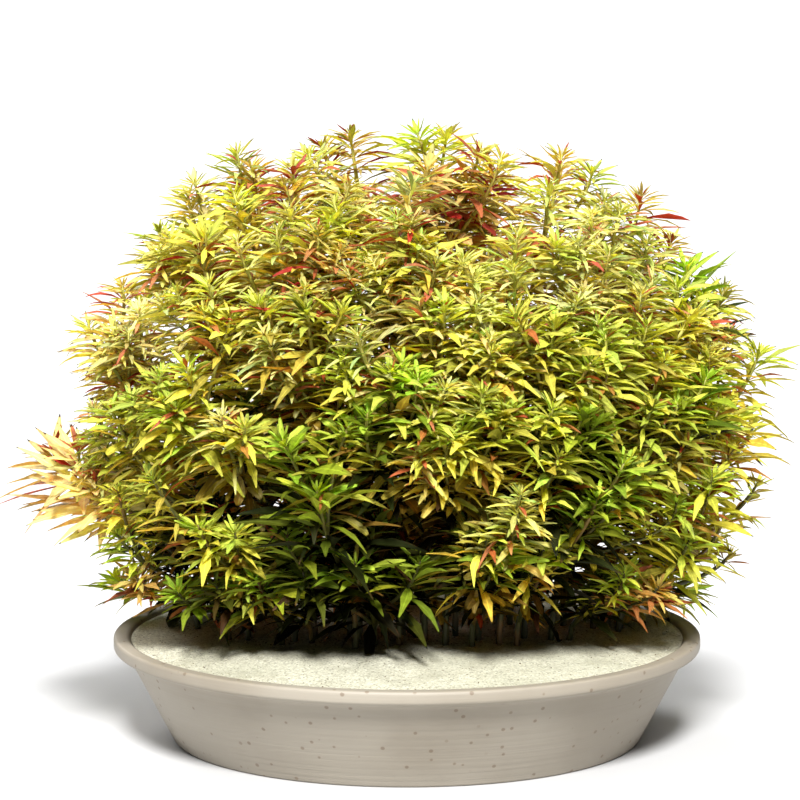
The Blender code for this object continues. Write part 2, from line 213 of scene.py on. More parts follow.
# Front and edge shoots: x and height above the sand as seen from the front, and mm behind the dome's front.
# Each side shoot has its own x and height as seen from the front, and its look.
frontShoots = {
    "top_shoot_1": ((-88, 177, 10), "leaf_yellow", "yellow", [(-85, 182, "pale"), (-98, 162, "olive")]),
    "top_shoot_2": ((-68, 194, 4), "leaf_yellow", "yellow", [(-62, 188, "orange"), (-68, 176, "olive")]),
    "top_shoot_3": ((-45, 186, -6), "leaf_red", "red", [(-48, 179, "red"), (-22, 179, "pale")]),
    "top_shoot_4": ((-23, 202, 8), "leaf_red", "red", [(-39, 192, "yellow"), (-34, 197, "red")]),
    "top_shoot_5": ((16, 201, 4), "leaf_yellow", "yellow",
        [(4, 201, "olive"), (29, 193, "red"), (37, 190, "red"), (8, 185, "orange")]),
    "top_shoot_6": ((62, 193, 6), "leaf_orange", "orange", [(55, 179, "yellow"), (74, 186, "olive")]),
    "top_shoot_7": ((94, 177, 4), "leaf_orange", "orange", [(106, 159, "red"), (84, 170, "yellow")]),
    "upper_shoot_1": ((-50, 160, 0), "leaf_yellow", "yellow", [(-46, 169, "pale"), (-34, 159, "red")]),
    "upper_shoot_2": ((-4, 165, 0), "leaf_yellow", "yellow",
        [(-28, 170, "yellow"), (3, 179, "pale"), (5, 156, "olive"), (2, 164, "orange")]),
    "upper_shoot_3": ((42, 158, 0), "leaf_yellow", "yellow", [(21, 149, "yellow"), (40, 146, "pale")]),
    "upper_shoot_4": ((78, 152, 0), "leaf_yellow", "yellow", [(65, 156, "pale"), (67, 137, "pale")]),
    "upper_shoot_5": ((-76, 140, 0), "leaf_yellow", "yellow", [(-81, 154, "red"), (-78, 129, "yellow")]),
    "middle_shoot_1": ((-38, 130, 0), "leaf_olive", "olive",
        [(-25, 152, "orange"), (-57, 132, "olive"), (-24, 129, "olive")]),
    "middle_shoot_2": ((14, 131, 0), "leaf_olive", "olive", [(-13, 147, "pale"), (22, 118, "olive")]),
    "middle_shoot_3": ((56, 124, 0), "leaf_olive", "olive", [(40, 127, "olive"), (70, 110, "olive")]),
    "middle_shoot_4": ((92, 124, 0), "leaf_olive", "olive", [(90, 136, "yellow"), (110, 128, "olive")]),
    "middle_shoot_5": ((-84, 108, 0), "leaf_olive", "olive", [(-67, 127, "olive"), (-88, 92, "lime")]),
    "middle_shoot_6": ((-6, 106, 0), "leaf_olive", "olive",
        [(-19, 120, "pale"), (4, 103, "green"), (-2, 109, "green"), (-15, 90, "green")]),
    "middle_shoot_7": ((28, 98, 0), "leaf_olive", "lime", [(37, 92, "lime"), (5, 76, "yellow")]),
    "middle_shoot_8": ((66, 90, 0), "leaf_green", "green",
        [(55, 92, "olive"), (72, 87, "green"), (82, 71, "green")]),
    "middle_shoot_9": ((104, 94, 0), "leaf_olive", "lime",
        [(99, 111, "olive"), (116, 104, "green"), (109, 80, "yellow")]),
    "right_shoot_1": ((127, 139, 0), "leaf_yellow", "yellow", [(110, 148, "green"), (117, 136, "olive")]),
    "right_shoot_2": ((141, 114, -6), "leaf_olive", "olive", [(128, 122, "yellow")]),
    "right_shoot_3": ((141, 86, 8), "leaf_olive", "open", [(124, 90, "olive"), (128, 76, "open")]),
    "right_shoot_4": ((140, 62, -16), "leaf_olive", "open", [(118, 66, "lime"), (124, 48, "open")]),
    "right_shoot_5": ((132, 33, 34), "leaf_green", "open", [(110, 40, "lime")]),
    "left_shoot_1": ((-127, 125, 4), "leaf_yellow", "yellow", [(-104, 130, "pale"), (-112, 140, "orange")]),
    "left_shoot_2": ((-114, 92, -4), "leaf_olive", "olive", [(-94, 105, "olive"), (-106, 96, "olive")]),
    "trailing_shoot": ((-143, 75, 0), "leaf_orange", "trailing",
        [(-129, 76, "trailing"), (-122, 64, "trailing")]),
    "left_shoot_3": ((-113, 43, 0), "leaf_green", "lime",
        [(-90, 21, "green"), (-112, 60, "olive"), (-106, 26, "brown")]),
    "low_shoot_1": ((-34, 61, 0), "leaf_green", "green", [(-47, 80, "green"), (-22, 85, "lime")]),
    "low_shoot_2": ((42, 52, 0), "leaf_green", "yellow", [(36, 38, "green"), (43, 60, "yellow")]),
    "low_shoot_3": ((72, 58, 0), "leaf_green", "green", [(84, 60, "lime"), (104, 56, "lime")]),
    "low_shoot_4": ((-80, 47, 0), "leaf_green", "lime", [(-66, 45, "lime"), (-98, 66, "olive")]),
    # The two low side shoots with the shade look below carry painted shade for the dark bottom of the clump
    "low_shoot_5": ((-58, 26, 0), "leaf_green", "green", [(-74, 24, "shade")]),
    "low_shoot_6": ((-20, 33, 0), "leaf_green", "green", [(-40, 29, "shade"), (5, 33, "green")]),
    "low_shoot_7": ((98, 22, 0), "leaf_orange", "brown", [(84, 28, "lime")]),
}

# Rows of shoots round the back: height above the sand in mm, count, the part of a step before the first,
# leaf slot and look
backRows = (
    (178, 2, 0.65, "leaf_yellow", "yellow"),
    (150, 3, 0.5, "leaf_yellow", "yellow"),
    (108, 4, 0.5, "leaf_yellow", "yellow"),
    (70, 3, 0.7, "leaf_olive", "olive"),
    (34, 3, 0.4, "leaf_olive", "green"),
)

luck = np.random.default_rng(clump["seed"])


def linear(colour):
    share = np.array(colour) / 255
    return np.where(share <= 0.04045, share / 12.92, ((share + 0.055) / 1.055) ** 2.4)


def blend(pair, share):
    return pair[0] * (1 - share) + pair[1] * share


def within(value, limit):
    return min(max(value, -limit), limit)


def deselect():
    if bpy.context.mode != "OBJECT":
        bpy.ops.object.mode_set(mode="OBJECT")
    bpy.ops.object.select_all(action="DESELECT")


def editAll():
    bpy.ops.object.mode_set(mode="EDIT")
    bpy.ops.mesh.select_all(action="SELECT")


def mergeClose(distance):
    bpy.ops.mesh.select_all(action="SELECT")
    bpy.ops.mesh.remove_doubles(threshold=distance)


def endEdit():
    # Faces point outwards, and edit mode ends
    bpy.ops.mesh.select_all(action="SELECT")
    bpy.ops.mesh.normals_make_consistent(inside=False)
    bpy.ops.object.mode_set(mode="OBJECT")


def addObject(name, data):
    thing = bpy.data.objects.new(name, data)
    bpy.context.scene.collection.objects.link(thing)
    return thing


def joinTo(body, other):
    deselect()
    other.select_set(True)
    body.select_set(True)
    bpy.context.view_layer.objects.active = body
    bpy.ops.object.join()


def innerRadius(height):
    return blend((pot["footRadius"], pot["rimRadius"]), height / pot["height"]) - pot["wall"]


sandEdge = pot["height"] - sand["belowRim"]
sandRadius = innerRadius(sandEdge)


def sandHeight(x, y):
    share = np.minimum(np.hypot(x, y) / sandRadius, 1)
    return sandEdge + sand["crown"] * (1 - share**2)


# Materials

def paint(colour):
    return (*linear(colour), 1)


def addNode(tree, kind, **settings):
    node = tree.nodes.new(kind)
    for key, value in settings.items():
        setattr(node, key, value)
    return node


def feed(tree, socket, value):
    # A plain value is set on the socket, and an output is linked to it
    if isinstance(value, (int, float, tuple)):
        socket.default_value = value
    else:
        tree.links.new(value, socket)


def newMaterial(name):
    material = bpy.data.materials.new(name)
    material.use_nodes = True
    tree = material.node_tree
    objects = addNode(tree, "ShaderNodeTexCoord").outputs["Object"]
    return material, tree, tree.nodes["Principled BSDF"], objects


def maths(tree, operation, *values, clamp=False):
    node = addNode(tree, "ShaderNodeMath", operation=operation, use_clamp=clamp)
    for socket, value in zip(node.inputs, values):
        feed(tree, socket, value)
    return node.outputs[0]


def times(tree, first, second):
    return maths(tree, "MULTIPLY", first, second)


def weighted(tree, patterns, weights, clamp=False):
    total = times(tree, patterns[0], weights[0])
    for pattern, weight in zip(patterns[1:], weights[1:]):
        total = maths(tree, "ADD", total, times(tree, pattern, weight), clamp=clamp)
    return total


def mixColour(tree, share, first, second, kind="MIX"):
    node = addNode(tree, "ShaderNodeMix", data_type="RGBA", blend_type=kind)
    for number, value in zip((0, 6, 7), (share, first, second)):
        feed(tree, node.inputs[number], value)
    return node.outputs[2]


def multiplied(tree, colour, by):
    return mixColour(tree, 1.0, colour, by, "MULTIPLY")


def mapped(tree, value, *limits, kind="LINEAR"):
    # From between the first two limits to between the last two, or to 0 to 1
    node = addNode(tree, "ShaderNodeMapRange", interpolation_type=kind)
    for socket, given in zip(node.inputs, (value, *limits)):
        feed(tree, socket, given)
    return node.outputs[0]


def smoothStep(tree, value, low, high):
    return mapped(tree, value, low, high, kind="SMOOTHSTEP")


def blotches(tree, colour, pattern, limits, share, over):
    # A second colour over the first, where the pattern passes the limits
    return mixColour(tree, times(tree, smoothStep(tree, pattern, *limits), share), colour, over)


def noiseFrom(tree, coordinates, scale, detail, stretch=None):
    if stretch:
        mapping = addNode(tree, "ShaderNodeMapping")
        mapping.inputs["Scale"].default_value = stretch
        tree.links.new(coordinates, mapping.inputs["Vector"])
        coordinates = mapping.outputs["Vector"]
    noise = addNode(tree, "ShaderNodeTexNoise")
    noise.inputs["Scale"].default_value = scale
    noise.inputs["Detail"].default_value = detail
    tree.links.new(coordinates, noise.inputs["Vector"])
    return noise.outputs["Fac"]


def cells(tree, objects, scale):
    # Grains or specks: how far a point is from its cell's middle, and two random shares for each cell
    pattern = addNode(tree, "ShaderNodeTexVoronoi")
    pattern.inputs["Scale"].default_value = scale
    tree.links.new(objects, pattern.inputs["Vector"])
    shares = addNode(tree, "ShaderNodeSeparateColor")
    tree.links.new(pattern.outputs["Color"], shares.inputs[0])
    return pattern.outputs["Distance"], shares.outputs[0], shares.outputs[1]


def finish(tree, shader, colour, roughness, height=None, distance=0.0, strength=1.0):
    # The colour and roughness, and the bump that a height pattern gives
    tree.links.new(colour, shader.inputs["Base Color"])
    feed(tree, shader.inputs["Roughness"], roughness)
    if height is None:
        return None
    node = addNode(tree, "ShaderNodeBump")
    node.inputs["Distance"].default_value = distance
    node.inputs["Strength"].default_value = strength
    tree.links.new(height, node.inputs["Height"])
    tree.links.new(node.outputs["Normal"], shader.inputs["Normal"])
    return node.outputs["Normal"]


leafFinish = {
    "mottle": 420.0,  # fineness of the mottling
    "mottled": (0.80, 1.16),  # its darkest and its palest
    "patches": 110.0,  # fineness of the patches in which the edges are brown
    "veins": (9.0, -5.0),  # how close the side veins stand and how far they slant
    "ribPale": (1.5, 1.55, 1.7, 1),  # how much paler the rib and the veins are
    "paler": (0.75, 0.25),  # share of that on the rib and on the veins
    "tipBrown": (0.30, 0.14, 0.04, 1),
    "edgeBrown": 0.35,
    "under": (0.95, 0.91, 0.78, 1),
    "through": (1.0, 1.0, 0.68, 1),  # colour that the light takes on its way through
    "relief": 0.12 * mm,
    "sunk": (-0.6, -0.3, 0.5),  # rib, veins and mottling in the relief
    "roughness": (0.38, 0.62),
    "gloss": 0.32,
    "glow": 0.48,  # share of the light that comes through a leaf
}


def leafMaterial(name):
    material, tree, shader, objects = newMaterial(name)
    tint = addNode(tree, "ShaderNodeVertexColor", layer_name="leafTint")
    leafMap = addNode(tree, "ShaderNodeUVMap", uv_map="leafMap")
    place = addNode(tree, "ShaderNodeSeparateXYZ")
    tree.links.new(leafMap.outputs["UV"], place.inputs[0])
    along, row = place.outputs[0], place.outputs[1]
    under = maths(tree, "GREATER_THAN", row, 1.0)
    across = maths(tree, "ABSOLUTE", maths(tree, "SUBTRACT", maths(tree, "FRACT", row), 0.5))

    rib = smoothStep(tree, across, 0.10, 0.02)
    slant = weighted(tree, (along, across), leafFinish["veins"])
    veins = smoothStep(tree, maths(tree, "PINGPONG", slant, 0.5), 0.10, 0.0)
    mottle = noiseFrom(tree, objects, leafFinish["mottle"], 4.0)
    patches = noiseFrom(tree, objects, leafFinish["patches"], 2.0)

    colour = multiplied(tree, tint.outputs["Color"], mapped(tree, mottle, 0.3, 0.7, *leafFinish["mottled"]))
    lines = weighted(tree, (rib, veins), leafFinish["paler"], clamp=True)
    colour = mixColour(tree, lines, colour, multiplied(tree, colour, leafFinish["ribPale"]))
    tipShare = times(tree, smoothStep(tree, along, 0.80, 1.0), tint.outputs["Alpha"])
    colour = mixColour(tree, tipShare, colour, leafFinish["tipBrown"])
    edge = times(tree, smoothStep(tree, across, 0.36, 0.5), smoothStep(tree, patches, 0.52, 0.66))
    colour = mixColour(tree, times(tree, edge, leafFinish["edgeBrown"]), colour, leafFinish["tipBrown"])
    colour = mixColour(tree, under, colour, multiplied(tree, colour, leafFinish["under"]))

    relief = weighted(tree, (rib, veins, mottle), leafFinish["sunk"])
    rough = mapped(tree, mottle, 0.0, 1.0, *leafFinish["roughness"])
    normal = finish(tree, shader, colour, rough, relief, leafFinish["relief"])
    shader.inputs["Specular IOR Level"].default_value = leafFinish["gloss"]

    through = addNode(tree, "ShaderNodeBsdfTranslucent")
    tree.links.new(multiplied(tree, colour, leafFinish["through"]), through.inputs["Color"])
    tree.links.new(normal, through.inputs["Normal"])
    both = addNode(tree, "ShaderNodeMixShader")
    for number, value in enumerate((leafFinish["glow"], shader.outputs[0], through.outputs[0])):
        feed(tree, both.inputs[number], value)
    tree.links.new(both.outputs[0], tree.nodes["Material Output"].inputs["Surface"])
    return material


stemFinish = {
    "low": (74, 74, 26),
    "high": (196, 190, 92),
    "heights": (0.06, 0.19),  # from where to where a stem turns from its low to its high colour
    "brown": (150, 96, 52),
    "streak": (0.62, 0.66, 0.5, 1),
    "roughness": 0.46,
    "relief": 0.1 * mm,
}


def stemMaterial():
    material, tree, shader, objects = newMaterial("stemSkin")
    height = addNode(tree, "ShaderNodeSeparateXYZ")
    tree.links.new(objects, height.inputs[0])
    streaks = noiseFrom(tree, objects, 260.0, 3.0, (1.0, 1.0, 0.12))
    patches = noiseFrom(tree, objects, 45.0, 2.0)
    upper = smoothStep(tree, height.outputs[2], *stemFinish["heights"])
    colour = mixColour(tree, upper, paint(stemFinish["low"]), paint(stemFinish["high"]))
    colour = blotches(tree, colour, patches, (0.5, 0.64), 0.5, paint(stemFinish["brown"]))
    streaked = multiplied(tree, colour, stemFinish["streak"])
    colour = blotches(tree, colour, streaks, (0.42, 0.62), 1.0, streaked)
    finish(tree, shader, colour, stemFinish["roughness"], streaks, stemFinish["relief"])
    return material


sandFinish = {
    "grainSize": 1500.0,
    "grains": ((180, 176, 154), (226, 224, 204)),  # darkest and palest grains
    "darkGrain": (92, 82, 62),
    "patch": (148, 144, 122),
    "damp": (178, 178, 154),
    "roughness": 0.95,
    "relief": 0.35 * mm,
    "looseSize": 420.0,
    "loose": ((184, 180, 160), (222, 220, 206)),
    "darkLoose": (104, 92, 70),
    "looseRoughness": 0.6,
}


def sandMaterial():
    material, tree, shader, objects = newMaterial("paleSand")
    distance, grey, chance = cells(tree, objects, sandFinish["grainSize"])
    patches = noiseFrom(tree, objects, 38.0, 4.0)
    damp = noiseFrom(tree, objects, 11.0, 3.0)
    dark, pale = sandFinish["grains"]
    colour = mixColour(tree, grey, paint(dark), paint(pale))
    colour = blotches(tree, colour, chance, (0.90, 0.96), 0.7, paint(sandFinish["darkGrain"]))
    colour = blotches(tree, colour, patches, (0.42, 0.7), 0.45, paint(sandFinish["patch"]))
    colour = blotches(tree, colour, damp, (0.45, 0.7), 0.35, paint(sandFinish["damp"]))
    height = maths(tree, "ADD", distance, patches)
    finish(tree, shader, colour, sandFinish["roughness"], height, sandFinish["relief"], 0.8)
    return material


def grainMaterial():
    material, tree, shader, objects = newMaterial("looseGrains")
    _, grey, chance = cells(tree, objects, sandFinish["looseSize"])
    dark, pale = sandFinish["loose"]
    colour = mixColour(tree, grey, paint(dark), paint(pale))
    colour = blotches(tree, colour, chance, (0.80, 0.84), 1.0, paint(sandFinish["darkLoose"]))
    finish(tree, shader, colour, sandFinish["looseRoughness"])
    return material


potFinish = {
    "clay": ((166, 158, 144), (150, 141, 126)),  # the clay and its clouding
    "ring": (146, 134, 116),
    "speck": (110, 88, 66),
    "speckSize": 330.0,
    "roughness": 0.55,
    "relief": 0.25 * mm,
}


def potMaterial():
    material, tree, shader, objects = newMaterial("paleStoneware")
    rings = noiseFrom(tree, objects, 60.0, 3.0, (0.1, 0.1, 9.0))
    cloud = noiseFrom(tree, objects, 16.0, 4.0)
    distance, chance, _ = cells(tree, objects, potFinish["speckSize"])
    dot = times(tree, smoothStep(tree, distance, 0.34, 0.20), smoothStep(tree, chance, 0.86, 0.9))
    clay, clouded = potFinish["clay"]
    colour = blotches(tree, paint(clay), cloud, (0.35, 0.7), 1.0, paint(clouded))
    colour = mixColour(tree, times(tree, rings, 0.22), colour, paint(potFinish["ring"]))
    colour = mixColour(tree, times(tree, dot, 0.6), colour, paint(potFinish["speck"]))
    height = weighted(tree, (rings, cloud), (1.0, 0.4))
    finish(tree, shader, colour, potFinish["roughness"], height, potFinish["relief"])
    return material


# One leaf, modelled flat along +X at one metre long and one metre wide, then laid along each leaf's own curve

leafOutline = {
    "blade": (10.5, 1.8, 1.6),  # width along it, with its powers towards foot and tip
    "stalk": (0.12, 4),
    "crowded": 1.25,  # stations stand closer towards the tip
    "tooth": (1.10, 0.02),  # width and shift of a tooth
    "notch": (0.91, -0.012),  # and of the notch after it
}


def modelLeaf(name, stations, teeth):
    deselect()
    bpy.ops.mesh.primitive_grid_add(x_subdivisions=stations, y_subdivisions=2, size=1)
    leaf = bpy.context.object
    leaf.name = name
    editAll()
    bm = bmesh.from_edit_mesh(leaf.data)
    height, toFoot, toTip = leafOutline["blade"]
    stalk, fading = leafOutline["stalk"]
    for vertex in bm.verts:
        number = round((vertex.co.x + 0.5) * stations)
        side = (vertex.co.y > 0.1) - (vertex.co.y < -0.1)
        share = 1 - (1 - number / stations) ** leafOutline["crowded"]
        width = height * share**toFoot * (1 - share) ** toTip + stalk * (1 - share) ** fading
        if teeth and side and 1 < number < stations:
            wider, shift = leafOutline["tooth" if number % 2 else "notch"]
            width *= wider
            share += shift
        vertex.co.x = share
        vertex.co.y = side * width / 2
        vertex.co.z = 0.5 if side else 0.0
    bmesh.update_edit_mesh(leaf.data)
    # The lower face is a flipped copy with its rib let down, merged with the upper one along the edges
    bpy.ops.mesh.duplicate()
    bpy.ops.mesh.flip_normals()
    bm = bmesh.from_edit_mesh(leaf.data)
    for vertex in bm.verts:
        if vertex.select and vertex.co.z < 0.1 and vertex.co.x < 0.999:
            vertex.co.z = -1.0
    bmesh.update_edit_mesh(leaf.data)
    mergeClose(0.0005)
    # Close the foot of the leaf
    bpy.ops.mesh.select_all(action="DESELECT")
    bpy.ops.mesh.select_non_manifold()
    bpy.ops.mesh.edge_face_add()
    endEdit()
    return leaf


def readModel(thing):
    # A leaf's points as shares of length, width and rib depth, its faces, and their place on the leaf map
    points = np.array([vertex.co for vertex in thing.data.vertices])
    corners, sizes, places = [], [], []
    for face in thing.data.polygons:
        sizes.append(len(face.vertices))
        for number in face.vertices:
            corners.append(number)
            side = 0.5 + 0.49 * np.sign(points[number, 1])
            places.append((points[number, 0], side + (face.normal.z < 0)))
    print(thing.name, len(points), "points,", sum(sizes) - 2 * len(sizes), "triangles")
    bpy.data.objects.remove(thing)
    model = {"points": points, "corners": corners, "sizes": sizes, "places": places}
    return {key: np.array(value) for key, value in model.items()}


def layLeaves(model, leaves):
    # Every leaf is the model bent along its own arc; leaves holds one row of numbers for each leaf
    leaf = {key: value[:, None] for key, value in leaves.items()}
    out, up, length = leaf["out"], leaf["up"], leaf["length"]
    side = np.cross(up, out)
    share, wide, deep = model["points"].T
    share = np.clip(share, 0, 1)

    # How far out and up the arc has come at each point, from the sums of short steps
    steps, arc = leafShape["steps"], leafShape["arc"]
    angles = leaf["rise"] - leaf["bend"] * np.linspace(0, 1, steps + 1) ** arc
    middle = (angles[:, 1:] + angles[:, :-1]) / 2
    at = np.minimum((share * steps).astype(int), steps - 1)
    part = share * steps - at

    def reached(parts):
        sums = np.concatenate([np.zeros_like(leaf["rise"]), np.cumsum(parts, axis=1) / steps], axis=1)
        return ((sums[:, at] * (1 - part) + sums[:, at + 1] * part) * length)[..., None]

    angle = (leaf["rise"] - leaf["bend"] * share**arc)[..., None]
    twist = (leaf["twist"] * share)[..., None]
    face = np.cos(angle) * up - np.sin(angle) * out
    across = np.cos(twist) * side + np.sin(twist) * face
    normal = np.cos(twist) * face - np.sin(twist) * side

    half = leaf["width"] * np.abs(wide)
    depth = half * (leaf["fold"] + leaf["wave"] * np.sin(share * leafShape["waves"] + leaf["phase"]))
    depth -= (deep < -0.5) * leafShape["thickness"] * np.sin(np.pi * np.clip(share, 0.06, 0.94))
    points = leaf["origin"] + reached(np.cos(middle)) * out + reached(np.sin(middle)) * up
    points += (leaf["width"] * wide)[..., None] * across + depth[..., None] * normal
    points += (leaf["sickle"] * share**2 * length)[..., None] * side
    points[..., 2] -= leaf["sag"] * share**2 * length
    return points.reshape(-1, 3)


def joinedMesh(name, groups):
    # One mesh from groups of (model, points, tints), each group the model copied over and over
    points = np.concatenate([group[1] for group in groups])
    tints, corners, sizes, places, before = [], [], [], [], 0
    for model, laid, tint in groups:
        size = len(model["points"])
        count = len(laid) // size
        shift = before + np.arange(count)[:, None] * size
        corners.append((model["corners"][None] + shift).ravel())
        sizes.append(np.tile(model["sizes"], count))
        places.append(np.tile(model["places"], (count, 1)))
        tints.append(np.repeat(tint, size, axis=0))
        before += len(laid)
    corners, sizes = np.concatenate(corners), np.concatenate(sizes)
    mesh = bpy.data.meshes.new(name)
    mesh.vertices.add(len(points))
    mesh.vertices.foreach_set("co", points.astype(np.float32).ravel())
    mesh.loops.add(len(corners))
    mesh.loops.foreach_set("vertex_index", corners.astype(np.int32))
    mesh.polygons.add(len(sizes))
    mesh.polygons.foreach_set("loop_start", np.concatenate([[0], np.cumsum(sizes)[:-1]]).astype(np.int32))
    mesh.update(calc_edges=True)
    leafMap = mesh.uv_layers.new(name="leafMap")
    leafMap.uv.foreach_set("vector", np.concatenate(places).astype(np.float32).ravel())
    tintLayer = mesh.color_attributes.new("leafTint", "FLOAT_COLOR", "POINT")
    tintLayer.data.foreach_set("color", np.concatenate(tints).astype(np.float32).ravel())
    mesh.validate()
    mesh.shade_smooth()
    mesh.set_sharp_from_angle(angle=math.radians(75))
    return mesh


# Stems

def upDome(height):
    # How far up the round of the dome a height stands, from 0 to 1
    return max(height - clump["domeStart"], 0) / clump["domeRise"]


def domeWidth(height):
    return clump["halfWidth"] * math.sqrt(max(0, 1 - upDome(height) ** 2))


def clumpDepth(height):
    return clump["halfDepth"] * blend((clump["undercut"], 1), min(height / clump["domeStart"], 1))


def domeDepth(x, height):
    # From the dome's middle to its front or back
    left = 1 - (x / clump["halfWidth"]) ** 2 - upDome(height) ** 2
    return clumpDepth(height) * math.sqrt(max(0, left))


def frontTip(x, seenHeight, behind):
    # The place on the dome's front that is seen at this height; a few rounds find it
    height = seenHeight
    for _ in range(12):
        y = clump["middle"] - domeDepth(x, height) + behind
        height = (seenHeight - y * math.sin(clump["viewTilt"])) / math.cos(clump["viewTilt"])
    return Vector((x, y, height + sandEdge))


def rootOf(tip):
    nearer = 1 - clump["rootsPull"] * min((tip.z - sandEdge) / (clump["domeStart"] + clump["domeRise"]), 1)
    x = clump["rootsWidth"] * nearer * tip.x / clump["halfWidth"]
    y = clump["middle"] + clump["rootsDepth"] * nearer * (tip.y - clump["middle"]) / clump["halfDepth"]
    return Vector((x, y, float(sandHeight(x, y)) + sand["fitGap"]))


def leanOf(tip):
    low, high, less = clump["leans"]
    return math.radians(min(max(low - less * (tip.z - sandEdge) / mm, high), low))


def curve(pulls):
    share = np.linspace(0, 1, stem["points"])[:, None]
    weights = ((1 - share) ** 3, 3 * share * (1 - share) ** 2, 3 * share**2 * (1 - share), share**3)
    return sum(weight * np.array(pull) for weight, pull in zip(weights, pulls))


def leaning(start, end, lean, turn=0.0):
    # Where a stem's tip points: from upright, it leans outwards, turned a little round
    heading = math.atan2(end.y - start.y, end.x - start.x) + turn
    return Vector((math.cos(heading) * math.sin(lean), math.sin(heading) * math.sin(lean), math.cos(lean)))


def mainLine(name, tip):
    root = rootOf(tip)
    lean, tipReach = leanOf(tip), clump["tipReach"]
    if name == "trailing_shoot":
        lean, tipReach = math.radians(clump["trailing"][0]), clump["trailing"][1]
    reach = (tip - root).length
    upright = Vector((0, 0, reach * clump["stemRise"]))
    return curve((root, root + upright, tip - leaning(root, tip, lean) * reach * tipReach, tip))


def sideLine(line, tip):
    # A side shoot leaves the main stem some way below its own tip and curves out to it
    drop = luck.uniform(*stem["sideDrop"])
    at = int(np.clip(np.searchsorted(line[:, 2], tip.z - drop), *stem["sideFrom"]))
    start = Vector(line[at])
    along = Vector(line[at + 1] - line[at]).normalized()
    reach = (tip - start).length
    share, more, spread = stem["sideLean"]
    lean = leanOf(tip) * share + math.radians(luck.uniform(0, more))
    ahead = leaning(start, tip, lean, luck.normal(0, spread))
    onStem, toTip = stem["sideStart"]
    leave = (along * onStem + (tip - start).normalized() * toTip).normalized()
    first, last = (share * reach for share in stem["sidePulls"])
    return curve((start, start + leave * first, tip - ahead * last, tip))


def alongLine(line):
    return np.concatenate([[0], np.cumsum(np.linalg.norm(np.diff(line, axis=0), axis=1))])


def pointsAt(line, along, at):
    return np.stack([np.interp(at, along, line[:, k]) for k in range(3)], axis=-1)


def aheadAt(line, along, at):
    number = max(min(int(np.searchsorted(along, at)), len(line) - 1), 1)
    ahead = line[number] - line[number - 1]
    return ahead / np.linalg.norm(ahead)


# Leaves

def near(limits, shape):
    # Random shares round 1, kept within limits
    spread, low, high = limits
    return luck.normal(1, spread, shape).clip(low, high)


def tintOf(look, age, size, shoot):
    # Young to full-grown to old, with each shoot and each leaf a little different and some leaves blushed
    young, grown, old, blush, blushed = looks[look][:5]
    stages = np.array([linear(young), linear(grown), linear(old)]) * givenBack
    at = np.clip(age * 2, 0, 1.999)
    first = int(at)
    tints = np.tile(np.append(blend(stages[first:], at - first) * shoot, 0.0), (size, 1))
    tints[:, :3] *= near(leafLuck["light"], (size, 1))
    tints[:, 0] *= luck.normal(1, leafLuck["red"], size)
    reddened = luck.random(size) < blushed * (0.3 + min(age * 6, 0.7))
    if look == "trailing" and age < heartAge:
        reddened[:] = True
    share = luck.uniform(0.6, 1.0, (size, 1)) * reddened[:, None]
    tints[:, :3] = tints[:, :3] * (1 - share) + linear(blush) * givenBack * share
    tints[:, 3] = luck.random(size) ** 6  # how brown its tip is
    return tints.clip(0, 1)


def whorlsOf(look, scale, lowest):
    # One stem's whorls from the tip down to the lowest: distance, length, rise, bend, leaves, width and form
    width, length, gap, more, _, bends = habits[looks[look][5]]
    whorls = []
    for number, (below, size, rise, bend, leaves, wide) in enumerate(youngWhorls):
        tiny = number < leafShape["tiny"]
        toothed = number >= leafShape["toothedFrom"] and more < 2
        form = "tiny" if tiny else "toothed" if toothed else "plain"
        below, size = below * mm * gap * scale, size * mm * length * scale
        leaves += 0 if tiny else more
        whorls.append((below, size, rise, bend * bends, leaves, wide * width, form))
    while below + oldWhorls["step"] * max(gap, 1) < lowest:
        below += oldWhorls["step"] * max(gap, 1)
        share = min(below / oldWhorls["oldest"], 1)
        rise, wide = blend(oldWhorls["rise"], share), blend(oldWhorls["width"], share)
        size = oldWhorls["length"] * scale
        whorls.append((below, size, rise, oldWhorls["bend"], oldWhorls["leaves"], wide, "tiny"))
    return [whorl for whorl in whorls if whorl[0] <= lowest]


def stacked(parts):
    return {key: np.concatenate([part[key] for part in parts]) for key in parts[0]}


